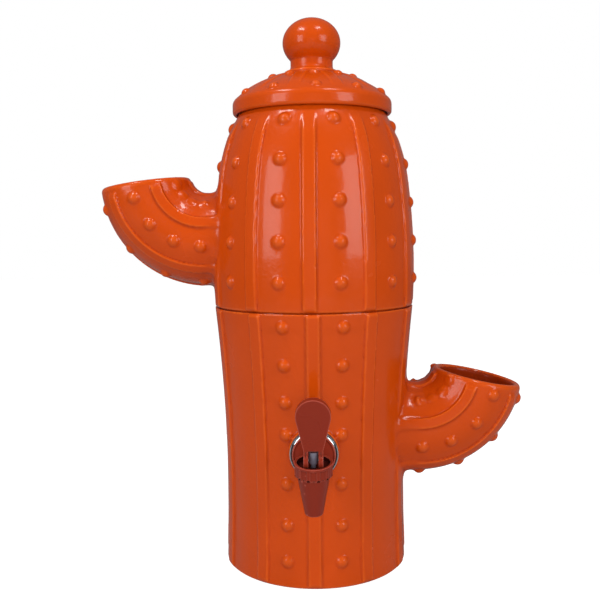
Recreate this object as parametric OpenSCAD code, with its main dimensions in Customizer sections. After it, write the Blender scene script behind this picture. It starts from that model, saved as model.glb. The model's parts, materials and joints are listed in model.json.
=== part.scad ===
// Clay water pot in the shape of a cactus: two stacked pots, two open arms, a lid,
// a filter candle with a float valve, and a lever tap. Millimetres, +Z up, the tap faces -Y.

/* [Lower pot] */
// How far the waist is drawn in from the radius at the seam
waist_in = 7.8; // [6:0.2:11]
// Height of the waist above the base
waist_z = 60; // [52:1:68]
// Height of the seam between the two pots
seam_z = 205.7; // [200:0.1:212]
// Radius of both pots at the seam
seam_r = 78.8; // [77:0.2:81]
// Thickness of the clay wall of both pots
wall = 7; // [6:0.25:8]
// Thickness of the lower pot's floor
floor_t = 10; // [8:0.5:14]
// Rounding of the foot, measured to the top of the ribs
foot_round = 6; // [4:0.5:8]
// Rounding where the two pots meet, measured to the top of the ribs
seam_round = 4; // [3:0.25:5]

/* [Upper pot] */
// How far the belly stands out past the radius at the seam
belly_out = 0.5; // [0:0.1:2]
// Height of the belly above the seam
belly_up = 28.3; // [20:0.1:36]
// Radius of the long curve of the belly
belly_curve = 520; // [480:5:620]
// Height above the seam where the shoulder begins
shoulder_up = 101; // [92:0.1:108]
// Radius of the shoulder's curve
shoulder_curve = 135; // [125:1:150]
// Height of the upper pot from the seam to its mouth
upper_h = 153.3; // [148:0.1:158]
// Thickness of the upper pot's floor
upper_floor_t = 9; // [7:0.5:12]
// Depth of the ring that locates the upper pot in the lower one
spigot_h = 8; // [5:0.5:12]
// Thickness of that ring
spigot_t = 5; // [4:0.25:7]
// Gap between that ring and the lower pot's mouth
spigot_gap = 1; // [0.6:0.1:2]
// Turn of the upper pot's pattern against the lower pot's
upper_turn = -1.5; // [-4:0.5:4]

/* [Ribs and thorns] */
// Number of ribs round each pot
rib_count = 11; // [9:1:13]
// Width of a rib
rib_w = 9.5; // [7:0.25:11]
// Height of a rib above the wall
rib_h = 1.8; // [1:0.1:2.4]
// Plain band under the mouth of the upper pot, above the ribs
collar_h = 8; // [5:0.5:14]
// Radius of a thorn's ball
thorn_r = 5.4; // [4.6:0.1:6]
// Height of a thorn above the wall
thorn_h = 2.8; // [2:0.1:3.4]
// Height of the lowest thorn on the lower pot
lower_thorn_z = 10.5; // [8:0.5:14]
// Spacing of the thorns up the lower pot
lower_thorn_step = 30.5; // [27:0.25:31]
// Height of the lowest thorn above the seam on the upper pot
upper_thorn_up = 21.3; // [16:0.1:26]
// Spacing of the thorns up the upper pot
upper_thorn_step = 29.4; // [26:0.2:30]

/* [Arms] */
// Outer radius of an arm's tube
arm_r = 35.5; // [32:0.5:37]
// Thickness of an arm's wall
arm_wall = 6; // [4.5:0.25:8]
// Radius of the bend, measured on the tube's centre line
arm_bend = 49; // [47:0.5:54]
// Distance of the lower arm's bend centre from the pot's axis
lower_arm_x = 82; // [80:0.5:87]
// Distance of the upper arm's bend centre from the pot's axis
upper_arm_x = 84; // [82:0.5:87]
// Height of the lower arm's root above the base
lower_arm_z = 106.4; // [96:0.2:112]
// Height of the upper arm's root above the seam
upper_arm_up = 52.4; // [50:0.2:58]
// How far the rim of the lower arm leans outwards
lower_arm_lean = 12; // [4:0.5:14]
// How far the rim of the upper arm leans outwards
upper_arm_lean = 7.5; // [4:0.5:14]
// Turn of the lower arm's pattern round its tube
lower_arm_turn = -15; // [-30:1:30]
// Turn of the upper arm's pattern round its tube
upper_arm_turn = -8; // [-30:1:30]
// Number of ribs round an arm
arm_rib_count = 6; // [5:1:7]
// Width of a rib on an arm
arm_rib_w = 8; // [6:0.25:9]
// Angle round the bend where the hollow of an arm ends
arm_floor_turn = 8; // [5:0.5:14]

/* [Lid] */
// How far the lip stands out past the outer radius of the mouth
lip_out = 7.2; // [6:0.1:10]
// Depth of the lip below the upper pot's mouth
lip_drop = 4.6; // [3:0.1:6]
// Radius of the dome
dome_curve = 94; // [88:1:102]
// Height of the dome above the mouth where it would meet the lip's outer radius
dome_edge_up = 5.7; // [4:0.1:8]
// Thickness of the dome
lid_t = 8; // [6:0.25:9]
// Rounding of the upper edge of the lip
lip_round = 6; // [4:0.25:7]
// Rounding of the lower edge of the lip
lip_foot_round = 2.5; // [1.5:0.25:3]
// Radius of the knob's neck
neck_r = 16.6; // [15:0.1:18]
// Radius of the knob
knob_r = 22.7; // [20:0.1:25]
// Height of the knob's centre above the crown of the dome
knob_up = 22; // [18:0.1:24]
// Half the height of the flattened knob
knob_half_h = 19.3; // [17:0.1:21]
// Depth of the ring that locates the lid in the mouth
lid_ring_h = 8; // [5:0.5:12]
// Gap between that ring and the mouth
lid_ring_gap = 1.5; // [1:0.1:2.5]
// Turn of the lid's pattern against the lower pot's
lid_turn = 20; // [0:0.5:32]
// Radius of a thorn's ball on the lid
lid_thorn_r = 4.4; // [3.8:0.1:5]
// Distance of the outer thorns from the lip's outer radius
lid_thorn_edge = 5.9; // [5:0.1:12]
// Distance of the inner thorns from the axis
lid_thorn_in = 34; // [31:0.5:38]

/* [Tap mounting] */
// Height of the tap's hole above the base
tap_z = 103.7; // [96:0.1:112]
// How far the pad stands out from the wall at the height of the hole
pad_out = 1.8; // [1.3:0.1:3.3]
// Radius of the outer pad
pad_r = 18.5; // [18:0.25:19]
// Thickness of the clay between the pad's outer and inner face
pad_t = 11; // [10.5:0.1:13.5]
// Radius of the inner pad
inner_pad_r = 16; // [15:0.5:18]
// Radius of the tap's threaded shank
shank_r = 8; // [7:0.1:9]
// Gap round the shank in the clay
shank_gap = 0.6; // [0.3:0.1:1.2]
// Radius of the water way through the shank
shank_bore = 4.75; // [4:0.05:5.5]
// Length of thread that shows behind the nut
shank_spare = 4; // [2:0.5:10]
// Radius of the rubber washers
washer_r = 14.5; // [13:0.25:15]
// Thickness of the rubber washers
washer_t = 2.5; // [1.5:0.25:4]
// Radius of the chrome ring
escutcheon_r = 17.8; // [17:0.1:18]
// Thickness of the chrome ring's sheet
escutcheon_t = 1; // [0.6:0.1:1.5]
// Width of the lock nut across its corners
nut_w = 30; // [27:0.5:32]
// Thickness of the lock nut
nut_t = 8; // [6:0.5:10]

/* [Tap body] */
// Lean of the tap's valve axis towards the front
tap_lean = 9; // [6:0.5:12]
// Distance of the bonnet's rim centre from the pad's outer face
valve_out = 32.5; // [31.5:0.25:36.5]
// Height of the bonnet's rim above the tap's hole
rim_up = 3.1; // [1:0.1:5]
// Radius of the flange against the chrome ring
flange_r = 15.75; // [14.5:0.25:17]
// Thickness of the flange
flange_t = 2.5; // [2:0.25:3.5]
// Outer radius of the neck between the flange and the valve
neck_tube_r = 6.5; // [6:0.1:7]
// Radius of the water way in the neck
neck_bore = 3.5; // [3:0.1:4]
// Slope of the neck below the horizontal
neck_slope = 43.5; // [41:0.5:46]
// Radius of the spout just below the bonnet
spout_top_r = 11.4; // [11:0.1:12]
// Radius of the spout at its tip
spout_tip_r = 6.5; // [6:0.1:7.5]
// Distance from the bonnet's rim to the tip of the spout
spout_len = 38.5; // [37:0.5:42]
// Radius of the outlet
outlet_r = 4.5; // [4:0.1:5]
// Distance from the bonnet's rim down to the valve seat
seat_depth = 25; // [24:0.5:27]
// Radius of the valve chamber
chamber_r = 7.2; // [6.8:0.1:7.4]

/* [Bonnet, stem and lever] */
// Outer radius of the bonnet
bonnet_r = 13.4; // [13.2:0.1:14.5]
// Height of the bonnet
bonnet_h = 9.5; // [8.5:0.25:10]
// Radius of the cup in the bonnet
cup_r = 11.6; // [11.2:0.1:11.8]
// Depth of the cup
cup_depth = 3.6; // [3:0.1:4.2]
// Thickness of the cup's floor
cup_floor_t = 1.4; // [1:0.1:2]
// Number of grip ribs round the bonnet
grip_count = 12; // [10:1:16]
// Radius of the stem
stem_r = 2; // [1.6:0.1:2.3]
// Radius of the stem's head
head_r = 2.9; // [2.7:0.1:3.1]
// Height of the stem's head above the bonnet's rim
head_h = 7.5; // [6:0.25:8]
// Height of the lever's pin above the bonnet's rim
pin_up = 1.5; // [1:0.1:2]
// Radius of the lever's pin
pin_r = 1.1; // [0.8:0.05:1.4]
// Radial gap of a pin or stem that turns or slides
run_gap = 0.05; // [0.02:0.01:0.09]
// Gap between moving faces at rest
rest_gap = 0.3; // [0.2:0.05:0.5]
// Distance of the lever's foot from its pin, towards the front
foot_offset = 2.8; // [2.4:0.1:3]
// Width of the lever's fork
fork_w = 13.4; // [12:0.1:14]
// Gap between the legs of the fork
fork_gap = 7.2; // [6.8:0.1:7.8]
// Height of the bridge of the fork above the bonnet's rim
bridge_up = 9.3; // [9:0.1:11]
// Width of the lever's paddle at its round end
paddle_w = 24.2; // [22:0.2:27]
// Height of the paddle's end above the bonnet's rim
paddle_up = 45.8; // [42:0.5:50]
// Thickness of the lever
lever_t = 6; // [5.5:0.1:6.5]
// Bevel along the front of the paddle's end
paddle_bevel = 3; // [1:0.25:4]
// Radius of the spring's coils, to the middle of the wire
spring_r = 3.7; // [3.4:0.1:4.4]
// Thickness of the spring's wire
spring_wire = 0.8; // [0.6:0.05:1]
// Number of coils in the spring
spring_coils = 6; // [4:1:8]

/* [Candle and float] */
// Radius of the candle's ceramic shell
candle_r = 25; // [22:0.5:28]
// Height of the candle above its base
candle_h = 92; // [80:1:105]
// Thickness of the ceramic shell
candle_wall = 6; // [5:0.25:8]
// Radius of the candle's plastic base
candle_base_r = 28.5; // [28:0.25:31]
// Height of the candle's plastic base
candle_base_h = 11; // [9:0.5:14]
// Radius of the carbon block in the candle
carbon_r = 15; // [12:0.5:16]
// Height of the carbon block
carbon_h = 58; // [50:1:64]
// Radius of the candle's threaded stem
candle_stem_r = 5; // [4.5:0.1:6]
// Gap round that stem in the clay floor
candle_stem_gap = 1; // [0.5:0.1:2]
// Thickness of the candle's washers
candle_washer_t = 2; // [1.5:0.25:3]
// Thickness of the candle's wing-free nut
candle_nut_t = 7; // [5:0.5:9]
// Radius of the float valve's body
float_body_r = 9; // [8:0.25:10]
// Height of the float valve's body
float_body_h = 16; // [14:0.5:20]
// Distance of the float's hinge from the candle's axis
float_hinge_x = 13; // [12.5:0.25:15]
// Distance from the hinge to the centre of the ball
float_reach = 50; // [46:1:54]
// Radius of the float's ball
float_ball_r = 15; // [12:0.5:16]
// Droop of the float when the pot is empty
float_droop = 25; // [18:1:30]

/* [Hidden] */

glaze = [0.80, 0.27, 0.06];
lever_red = [0.55, 0.14, 0.11];
big_fn = 256;
round_fn = 96;
small_fn = 48;

// Gap left under a clay piece that stands on another
seat_gap = 0.1;
// Top of the lower pot
rest_z = seam_z - seat_gap;
waist_r = seam_r - waist_in;
belly_r = seam_r + belly_out;
// Arc of the lower pot: a concave circle whose centre lies outside the pot
lower_curve = (pow(seam_z - waist_z, 2) + pow(seam_r - waist_r, 2)) / (2 * (seam_r - waist_r));
foot_r = waist_r + lower_curve - sqrt(pow(lower_curve, 2) - pow(waist_z, 2));
// Arcs of the upper pot
belly_z = seam_z + belly_up;
shoulder_z = seam_z + shoulder_up;
mouth_z = seam_z + upper_h;
belly_c = [belly_r - belly_curve, belly_z];
shoulder_turn = asin((shoulder_z - belly_z) / belly_curve);
shoulder_r = belly_c[0] + belly_curve * cos(shoulder_turn);
shoulder_c = [shoulder_r - shoulder_curve * cos(shoulder_turn),
              shoulder_z - shoulder_curve * sin(shoulder_turn)];
mouth_r = shoulder_c[0] + sqrt(pow(shoulder_curve, 2) - pow(mouth_z - shoulder_c[1], 2));
mouth_inner_r = shoulder_c[0]
    + sqrt(pow(shoulder_curve - wall, 2) - pow(mouth_z - shoulder_c[1], 2));
upper_floor_z = seam_z + upper_floor_t;
lower_mouth_r = seam_r - wall;
rib_pitch = 360 / rib_count;
upper_arm_z = seam_z + upper_arm_up;
// Thorns of the two columns beside the tap, placed by hand to clear it
near_tap_z = [20.5, 48, 79, 116, 140, 167.5, 195.5];
// Angles round the bend of an arm where its thorns sit
arm_thorn_turns = [1, 23.5, 47, 72];
// Half the width of the bead that rounds an arm's rim
rim_bead = arm_wall / 2 - 0.3;
// How deep a thorn's foot is sunk into the wall
thorn_foot = 1.6;
spigot_r = lower_mouth_r - spigot_gap;
// How far the locating ring's top is sunk into the upper pot's floor
spigot_sunk = 3;

lid_r = mouth_r + lip_out;
lid_thorn_out = lid_r - lid_thorn_edge;
// Height of the centre of the dome's sphere, and of its crown
dome_c = mouth_z + dome_edge_up - sqrt(pow(dome_curve, 2) - pow(lid_r, 2));
dome_z = dome_c + dome_curve;
knob_z = dome_z + knob_up;
neck_flare = 4;

hole_r = shank_r + shank_gap;
pad_y = lower_r(tap_z) + pad_out;
inner_pad_y = pad_y - pad_t;
valve_y = pad_y + valve_out;
escutcheon_face = pad_y + washer_t + escutcheon_t;
flange_face = escutcheon_face + flange_t;
nut_face = inner_pad_y - washer_t - nut_t;
shank_end = nut_face - shank_spare;
rim_z = tap_z + rim_up;
skirt_r = spout_top_r + 0.3;
gasket_t = 0.8;
body_top = -cup_depth - cup_floor_t - gasket_t;
grip_h = 0.5;
grip_w = 2.6;
// How far a grip rib stops short of the bonnet's lower edge
grip_step = 0.4;
cam_r = pin_up + cup_depth - rest_gap;
collar_z = -seat_depth + rest_gap + 5.5;
collar_t = 1.5;
seal_r = 6.2;
seal_t = 2.5;

candle_z = upper_floor_z + candle_washer_t;
candle_seat = 4;
candle_nut_z = seam_z - candle_washer_t - candle_nut_t;
float_body_z = candle_nut_z - float_body_h;
candle_stem_end = candle_nut_z - float_body_h / 2;
nozzle_h = 2;
nozzle_z = float_body_z - nozzle_h;
float_seal_t = 1.6;
float_arm_h = 4;
float_arm_w = 7;
float_pin_r = 1.2;
float_z = nozzle_z - rest_gap - float_seal_t - float_arm_h / 2;

// Places its children in the tap's own frame: its Z is the valve axis, its Z = 0 the bonnet's rim
module at_tap() {
    translate([0, -valve_y, rim_z]) rotate([tap_lean, 0, 0]) children();
}

// A disc or a ring that lies across the shank, from y = -from to y = -to
module along_shank(from, to) {
    translate([0, -from, tap_z]) rotate([90, 0, 0]) linear_extrude(to - from) children();
}

// Rounds the outer edge of a pot at height z; up is 1 for a lower edge and -1 for an upper one
module edge_cut(r, z, round, up) {
    rotate_extrude($fn = round_fn) difference() {
        translate([r - round, z - (up > 0 ? 1 : round)]) square([round + 6, round + 1]);
        translate([r - round, z + up * round]) circle(round, $fn = small_fn);
    }
}

// Outline of the lower pot's outer face, or of its hollow when inset is the wall
module lower_outline(inset, z0, z1) {
    difference() {
        translate([0, z0]) square([seam_r + rib_h + 1, z1 - z0]);
        translate([waist_r + lower_curve, waist_z]) circle(lower_curve + inset, $fn = big_fn * 4);
    }
}

module upper_outline(inset, z0, z1) {
    intersection() {
        translate(belly_c) circle(belly_curve - inset, $fn = big_fn * 2);
        translate([0, z0]) square([belly_r + rib_h + 1, shoulder_z - z0]);
    }
    intersection() {
        translate(shoulder_c) circle(shoulder_curve - inset, $fn = big_fn);
        translate([0, shoulder_z]) square([belly_r + rib_h + 1, z1 - shoulder_z]);
    }
}

// Radial slabs that cut the ribs of one pot out of a thicker copy of its outline
module rib_slabs(width, reach, z0, z1) {
    for (k = [0 : rib_count - 1]) rotate([0, 0, k * rib_pitch - 90])
        translate([0, -width / 2, z0]) cube([reach, width, z1 - z0]);
}

function lower_r(z) = waist_r + lower_curve - sqrt(pow(lower_curve, 2) - pow(z - waist_z, 2));
function belly_at(z) = belly_c[0] + sqrt(pow(belly_curve, 2) - pow(z - belly_z, 2));
function shoulder_at(z) = shoulder_c[0] + sqrt(pow(shoulder_curve, 2) - pow(z - shoulder_c[1], 2));
function upper_r(z) = z < shoulder_z ? belly_at(z) : shoulder_at(z);
// How far the upper wall leans in at height z
function upper_tilt(z) = z < shoulder_z ? asin((z - belly_z) / belly_curve)
                                        : asin((z - shoulder_c[1]) / shoulder_curve);

// A thorn's cap; its foot is sunk into the wall and it points along +X
module thorn_cap() {
    rotate([0, 90, 0]) rotate_extrude($fn = small_fn) intersection() {
        translate([0, thorn_h - thorn_r]) circle(thorn_r, $fn = small_fn);
        translate([0, -thorn_foot]) square(thorn_r);
    }
}

module thorn(r, z, tilt, turn) {
    rotate([0, 0, turn - 90]) translate([r, 0, z]) rotate([0, -tilt, 0]) thorn_cap();
}

module lower_pattern() {
    rows = floor((seam_z - thorn_r - lower_thorn_z) / lower_thorn_step);
    intersection() {
        rotate_extrude($fn = round_fn) lower_outline(-rib_h, 0, rest_z);
        rib_slabs(rib_w, 2 * seam_r, 0, rest_z);
    }
    for (k = [0 : rib_count - 1]) {
        turn = (k + 0.5) * rib_pitch;
        if (k == 0 || k == rib_count - 1)
            for (z = near_tap_z) if (z < seam_z - thorn_r) thorn(lower_r(z), z, 0, turn);
        else
            for (i = [0 : rows]) {
                z = lower_thorn_z + i * lower_thorn_step;
                thorn(lower_r(z), z, 0, turn);
            }
    }
}

module upper_pattern() {
    rows = floor((upper_h - thorn_r - upper_thorn_up) / upper_thorn_step);
    rib_top = mouth_z - collar_h;
    rotate([0, 0, upper_turn]) {
        intersection() {
            rotate_extrude($fn = round_fn) upper_outline(-rib_h, seam_z, rib_top);
            rib_slabs(rib_w, 2 * belly_r, seam_z, rib_top);
        }
        for (k = [0 : rib_count - 1], i = [0 : rows]) {
            z = seam_z + upper_thorn_up + i * upper_thorn_step;
            thorn(upper_r(z), z, upper_tilt(z), (k + 0.5) * rib_pitch);
        }
    }
}

// The space that an arm's root takes on the pot, clear of the pattern
module arm_root(side, z) {
    translate([0, 0, z]) rotate([0, side * 90, 0])
        cylinder(h = 2 * seam_r, r = arm_r + rib_h + 0.3, $fn = round_fn);
}

module lower_pot() color(glaze) difference() {
    union() {
        rotate_extrude($fn = round_fn) lower_outline(0, 0, rest_z);
        difference() {
            lower_pattern();
            arm_root(1, lower_arm_z);
            along_shank(0, pad_y + thorn_h + rib_h) circle(pad_r, $fn = round_fn);
        }
        along_shank(inner_pad_y, pad_y) circle(pad_r, $fn = round_fn);
    }
    difference() {
        rotate_extrude($fn = round_fn) lower_outline(wall, floor_t, seam_z + 1);
        along_shank(inner_pad_y, pad_y) circle(inner_pad_r, $fn = round_fn);
    }
    along_shank(inner_pad_y - wall, pad_y + wall) circle(hole_r, $fn = round_fn);
    edge_cut(foot_r + rib_h, 0, foot_round, 1);
    edge_cut(seam_r + rib_h, rest_z, seam_round, -1);
}

module upper_pot() color(glaze) difference() {
    union() {
        // turned so that the revolved wall's own seam lies under a rib
        rotate([0, 0, 4 * rib_pitch + upper_turn - 90]) rotate_extrude($fn = round_fn)
            upper_outline(0, seam_z, mouth_z);
        difference() {
            upper_pattern();
            arm_root(-1, upper_arm_z);
        }
        translate([0, 0, seam_z - spigot_h])
            cylinder(h = spigot_h + spigot_sunk, r = spigot_r, $fn = round_fn);
    }
    rotate_extrude($fn = round_fn) upper_outline(wall, upper_floor_z, mouth_z + 1);
    translate([0, 0, seam_z - 1])
        cylinder(h = upper_floor_t + 2, r = candle_stem_r + candle_stem_gap, $fn = small_fn);
    edge_cut(seam_r + rib_h, seam_z, seam_round, 1);
    translate([0, 0, seam_z - spigot_h - 1])
        cylinder(h = spigot_h + 1, r = spigot_r - spigot_t, $fn = round_fn);
}

// Sweeps its 2D children along the bend of an arm; they are drawn about the tube's centre
module bend(from, to) {
    rotate([90, 0, 0]) rotate_extrude(angle = to - from, start = from - 90, $fn = round_fn)
        translate([arm_bend, 0]) children();
}

module arm_thorn(along, turn) {
    rotate([0, 90 - along, 0]) translate([arm_bend, 0, 0]) rotate([0, 0, -turn])
        translate([arm_r, 0, 0]) thorn_cap();
}

// An arm that leaves the pot along +X with its root at height z
module arm(x, z, lean, turn) {
    rim = 90 - lean;
    pitch = 360 / arm_rib_count;
    translate([x, 0, z + arm_bend]) {
        difference() {
            union() {
                bend(0, rim) circle(arm_r, $fn = small_fn);
                translate([-x, 0, -arm_bend]) rotate([0, 90, 0])
                    cylinder(h = x, r = arm_r, $fn = small_fn);
                for (k = [0 : arm_rib_count - 1]) {
                    bend(0, rim - 3) rotate(k * pitch + turn)
                        translate([arm_r - arm_wall / 2, -arm_rib_w / 2])
                            square([arm_wall / 2 + rib_h, arm_rib_w]);
                    for (a = arm_thorn_turns) arm_thorn(a, (k + 0.5) * pitch + turn);
                }
            }
            bend(arm_floor_turn, rim) circle(arm_r - arm_wall, $fn = small_fn);
        }
        rotate([0, 90 - rim, 0]) translate([arm_bend, 0, 0])
            rotate_extrude($fn = round_fn) translate([arm_r - arm_wall / 2, 0]) {
                intersection() {
                    circle(rim_bead, $fn = small_fn);
                    translate([-rim_bead, 0]) square(2 * rim_bead);
                }
                translate([-rim_bead, -2]) square([2 * rim_bead, 2]);
            }
    }
}

module lower_arm() color(glaze) difference() {
    arm(lower_arm_x, lower_arm_z, lower_arm_lean, lower_arm_turn);
    rotate_extrude($fn = round_fn) lower_outline(0, 0, seam_z);
}

module upper_arm() color(glaze) difference() {
    mirror([1, 0, 0]) arm(upper_arm_x, upper_arm_z, upper_arm_lean, upper_arm_turn);
    rotate_extrude($fn = round_fn) upper_outline(0, seam_z, mouth_z);
}

// Points of a round stretch of an outline
function arc(c, r, a0, a1, n) = [for (i = [0 : n]) let (a = a0 + (a1 - a0) * i / n)
    c + r * [cos(a), sin(a)]];

lip_z = mouth_z - lip_drop;
lip_inner_r = upper_r(lip_z) + 1.2;
// Centre of the round that joins the dome to the lip
lip_c = [lid_r - lip_round, dome_c + sqrt(pow(dome_curve - lip_round, 2) - pow(lid_r - lip_round, 2))];
lip_turn = atan2(lip_c[1] - dome_c, lip_c[0]);
under_curve = dome_curve - lid_t;
lid_ring_r = mouth_inner_r - lid_ring_gap;
lid_ring_t = 6;

module lid_outline() {
    under_r = lid_ring_r - lid_ring_t;
    foot = lip_foot_round;
    polygon(concat(
        [[0, dome_c + under_curve], [0, dome_z]],
        arc([0, dome_c], dome_curve, 90, lip_turn, 24),
        arc(lip_c, lip_round, lip_turn, 0, 8),
        arc([lid_r - foot, lip_z + foot], foot, 0, -90, 6),
        [[lip_inner_r, lip_z], [lip_inner_r, mouth_z + seat_gap], [lid_ring_r, mouth_z + seat_gap],
         [lid_ring_r, mouth_z - lid_ring_h], [under_r, mouth_z - lid_ring_h]],
        arc([0, dome_c], under_curve, acos(under_r / under_curve), 90, 16)));
}

module lid_thorn(r, turn) {
    rotate([0, 0, turn - 90]) translate([0, 0, dome_c]) rotate([0, acos(r / dome_curve) * -1, 0])
        translate([dome_curve - lid_thorn_r * 0.45, 0, 0]) sphere(lid_thorn_r, $fn = small_fn);
}

module lid() color(glaze) difference() {
    union() {
        rotate_extrude($fn = round_fn) lid_outline();
        rotate([0, 0, lid_turn]) {
            intersection() {
                translate([0, 0, dome_c]) sphere(dome_curve + rib_h, $fn = big_fn);
                rib_slabs(rib_w - 1, lid_r - 4, mouth_z, dome_z + rib_h);
            }
            for (k = [0 : rib_count - 1]) {
                lid_thorn(lid_thorn_out, (k + 0.5) * rib_pitch);
                lid_thorn(lid_thorn_in, (k + 0.5) * rib_pitch);
            }
        }
    }
    translate([0, 0, dome_c]) intersection() {
        sphere(under_curve, $fn = big_fn);
        translate([0, 0, mouth_z - lid_ring_h - dome_c - 1])
            cylinder(h = dome_curve, r = lid_ring_r - lid_ring_t, $fn = round_fn);
    }
    knob_seat(neck_r + neck_flare);
}

// The knob's solid shape down to the dome
module knob_shape() {
    neck_z = dome_z + neck_flare;
    rotate_extrude($fn = round_fn) union() {
        translate([0, knob_z]) intersection() {
            scale([knob_r, knob_half_h]) circle(1, $fn = round_fn);
            translate([0, -knob_half_h]) square([knob_r, 2 * knob_half_h]);
        }
        translate([0, dome_z - lid_t / 2]) square([neck_r, knob_z - dome_z + lid_t / 2]);
        difference() {
            translate([0, dome_z - lid_t / 2]) square([neck_r + neck_flare, neck_z - dome_z + lid_t / 2]);
            translate([neck_r + neck_flare, neck_z]) circle(neck_flare, $fn = small_fn);
        }
    }
}

// The flat bed in the dome on which the knob stands
module knob_seat(r) {
    translate([0, 0, dome_c + sqrt(pow(dome_curve, 2) - pow(neck_r + neck_flare, 2))])
        cylinder(h = 3 * knob_up, r = r, $fn = round_fn);
}

module lid_knob() color(glaze) intersection() {
    knob_shape();
    knob_seat(2 * knob_r);
}

module tap_escutcheon() color("silver")
    translate([0, -pad_y, tap_z]) rotate([90, 0, 0]) rotate_extrude($fn = round_fn) {
        difference() {
            square([escutcheon_r, washer_t + escutcheon_t]);
            square([escutcheon_r - escutcheon_t, washer_t]);
            translate([-1, -1]) square([shank_r + run_gap + 1, washer_t + escutcheon_t + 2]);
            translate([escutcheon_r - 2, washer_t + escutcheon_t - 2]) difference() {
                square(3);
                circle(2, $fn = small_fn);
            }
        }
    }

module washer(from, to) color("dimgray")
    along_shank(from, to) difference() {
        circle(washer_r, $fn = round_fn);
        circle(shank_r + run_gap, $fn = round_fn);
    }

module tap_outer_washer() washer(pad_y, pad_y + washer_t);

module tap_inner_washer() washer(inner_pad_y - washer_t, inner_pad_y);

module tap_lock_nut() color("ivory")
    along_shank(nut_face, nut_face + nut_t) difference() {
        circle(nut_w / 2, $fn = 6);
        circle(shank_r + run_gap, $fn = round_fn);
    }

// The water way from the shank down to the valve chamber
module neck_way(r, length) {
    translate([0, -flange_face + 0.5, tap_z - 2.7]) {
        rotate([90 + neck_slope, 0, 0]) cylinder(h = length, r = r, $fn = small_fn);
        sphere(r, $fn = small_fn);
    }
}

neck_len = (valve_y - flange_face) / cos(neck_slope);

module tap_body() color(lever_red) difference() {
    union() {
        along_shank(escutcheon_face, flange_face) circle(flange_r, $fn = round_fn);
        along_shank(shank_end, flange_face) circle(shank_r, $fn = round_fn);
        difference() {
            neck_way(neck_tube_r, neck_len - 2);
            along_shank(0, escutcheon_face + flange_t / 2) square(2 * flange_r, center = true);
        }
        at_tap() {
            translate([0, 0, -spout_len])
                cylinder(h = spout_len - bonnet_h - 0.4, r1 = spout_tip_r, r2 = spout_top_r,
                         $fn = round_fn);
            translate([0, 0, -bonnet_h - 0.4])
                cylinder(h = bonnet_h + 0.4 + body_top, r = spout_top_r, $fn = round_fn);
        }
    }
    at_tap() {
        translate([0, 0, -seat_depth]) cylinder(h = seat_depth, r = chamber_r, $fn = round_fn);
        translate([0, 0, -spout_len - 1]) cylinder(h = spout_len, r = outlet_r, $fn = round_fn);
        difference() {
            translate([0, 0, -bonnet_h - 0.4])
                cylinder(h = bonnet_h + 4, r = bonnet_r + 0.5, $fn = round_fn);
            translate([0, 0, -bonnet_h - 1])
                cylinder(h = bonnet_h + 1, r = spout_top_r, $fn = round_fn);
        }
    }
    neck_way(neck_bore, neck_len - 4);
    along_shank(shank_end - 1, flange_face + 0.5) circle(shank_bore, $fn = round_fn);
}

module tap_bonnet() color(lever_red) at_tap() difference() {
    union() {
        translate([0, 0, -bonnet_h]) cylinder(h = bonnet_h, r = bonnet_r - grip_h, $fn = round_fn);
        translate([0, 0, -1.6]) cylinder(h = 1.6, r = bonnet_r, $fn = round_fn);
        for (k = [0 : grip_count - 1]) rotate([0, 0, (k + 0.5) * 360 / grip_count - 90])
            intersection() {
                translate([skirt_r + grip_h, -grip_w / 2, grip_step - bonnet_h])
                    cube([bonnet_r - skirt_r, grip_w, bonnet_h - 3 * grip_step]);
                translate([0, 0, -bonnet_h - 1])
                    cylinder(h = bonnet_h + 2, r = bonnet_r - 0.15, $fn = round_fn);
            }
    }
    translate([0, 0, -cup_depth]) cylinder(h = cup_depth + 1, r = cup_r, $fn = round_fn);
    translate([0, 0, -bonnet_h - 1])
        cylinder(h = bonnet_h + 1 - cup_depth - cup_floor_t, r = skirt_r, $fn = round_fn);
    translate([0, 0, -bonnet_h]) cylinder(h = bonnet_h, r = stem_r + run_gap, $fn = round_fn);
    for (k = [0 : grip_count - 1]) rotate([0, 0, k * 360 / grip_count - 90])
        translate([bonnet_r - grip_h - 0.6, -0.8, -bonnet_h - 1]) cube([3, 1.6, 2.2]);
}

module bonnet_gasket() color("dimgray") at_tap()
    translate([0, 0, body_top]) difference() {
        cylinder(h = gasket_t, r = spout_top_r, $fn = round_fn);
        translate([0, 0, -1]) cylinder(h = gasket_t + 2, r = chamber_r, $fn = round_fn);
    }

module valve_stem() color([0.45, 0.45, 0.48]) at_tap() difference() {
    union() {
        translate([0, 0, -seat_depth + rest_gap + 1]) cylinder(h = seat_depth, r = stem_r,
                                                               $fn = round_fn);
        translate([0, 0, collar_z]) cylinder(h = collar_t, r = spring_r + 0.8, $fn = round_fn);
        translate([0, 0, -seat_depth + rest_gap + seal_t])
            cylinder(h = collar_z + seat_depth - rest_gap - seal_t, r = stem_r + 0.8,
                     $fn = round_fn);
        translate([0, 0, -0.6]) cylinder(h = head_h + 0.6, r = head_r, $fn = round_fn);
    }
    translate([-head_r - 1, 0, pin_up]) rotate([0, 90, 0])
        cylinder(h = 2 * head_r + 2, r = pin_r + run_gap, $fn = small_fn);
}

module valve_seal() color("dimgray") at_tap()
    translate([0, 0, -seat_depth + rest_gap]) difference() {
        cylinder(h = seal_t, r = seal_r, $fn = round_fn);
        translate([0, 0, 1]) cylinder(h = seal_t, r = stem_r, $fn = round_fn);
    }

// One ring of the spring's wire at a share of its length
function spring_ring(share, z0, z1) = let (a = share * spring_coils * 360)
    [for (j = [0 : 5]) let (b = j * 60, r = spring_r + spring_wire / 2 * cos(b))
        [r * cos(a), r * sin(a), z0 + (z1 - z0) * share + spring_wire / 2 * sin(b)]];

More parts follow.
